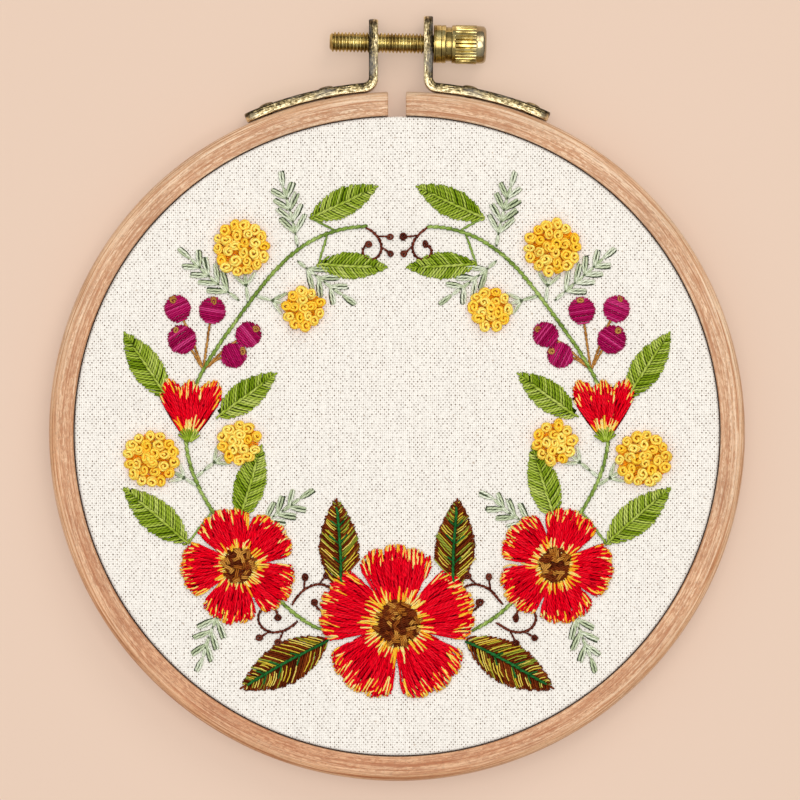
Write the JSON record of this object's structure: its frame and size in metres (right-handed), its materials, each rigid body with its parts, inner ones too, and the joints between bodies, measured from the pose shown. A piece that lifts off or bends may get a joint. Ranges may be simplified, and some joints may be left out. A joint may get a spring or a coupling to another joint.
{
  "type": "hoop embroidery art",
  "caption": "Round beech embroidery hoop with a metal screw clamp, holding cream cotton cloth stitched with a floral wreath.",
  "frame": {"origin": "on the surface the hoop lies on, under the middle of its whole outline; the rings' centre is 6.825 mm towards -Y", "axes": "+Z out of the stitched face, +Y towards the clamp, +X to the right as the face is read"},
  "size_m": [0.1366, 0.1504, 0.01],
  "materials": {
    "beech": "sanded and lightly waxed beech",
    "inner_beech": "sanded bare beech",
    "cotton_cloth": "plain-weave unbleached cotton",
    "plated_steel": "dull zinc-plated strip with worn pale edges",
    "brass": "turned and knurled brass",
    "red_thread": "stranded cotton, soft sheen",
    "yellow_thread": "stranded cotton, soft sheen",
    "green_thread": "stranded cotton, soft sheen",
    "sage_thread": "stranded cotton, soft sheen",
    "plum_thread": "stranded cotton, soft sheen",
    "brown_thread": "stranded cotton, soft sheen"
  },
  "bodies": {
    "hoop": {"outer_ring": "beech", "inner_ring": "inner_beech", "cloth": "cotton_cloth", "bracket_left": "plated_steel", "bracket_right": "plated_steel", "rivet_left_1": "plated_steel", "rivet_left_2": "plated_steel", "rivet_right_1": "plated_steel", "rivet_right_2": "plated_steel"},
    "screw": {"clamp_screw": "brass"}
  },
  "joints": [
    {"name": "clamp_screw_turn", "type": "hinge", "parent": "hoop", "child": "screw", "pos_m": [0, 0.06993, 0.005], "axis": [0.9998, -0.0209, 0], "range_deg": [0, 990]}
  ]
}
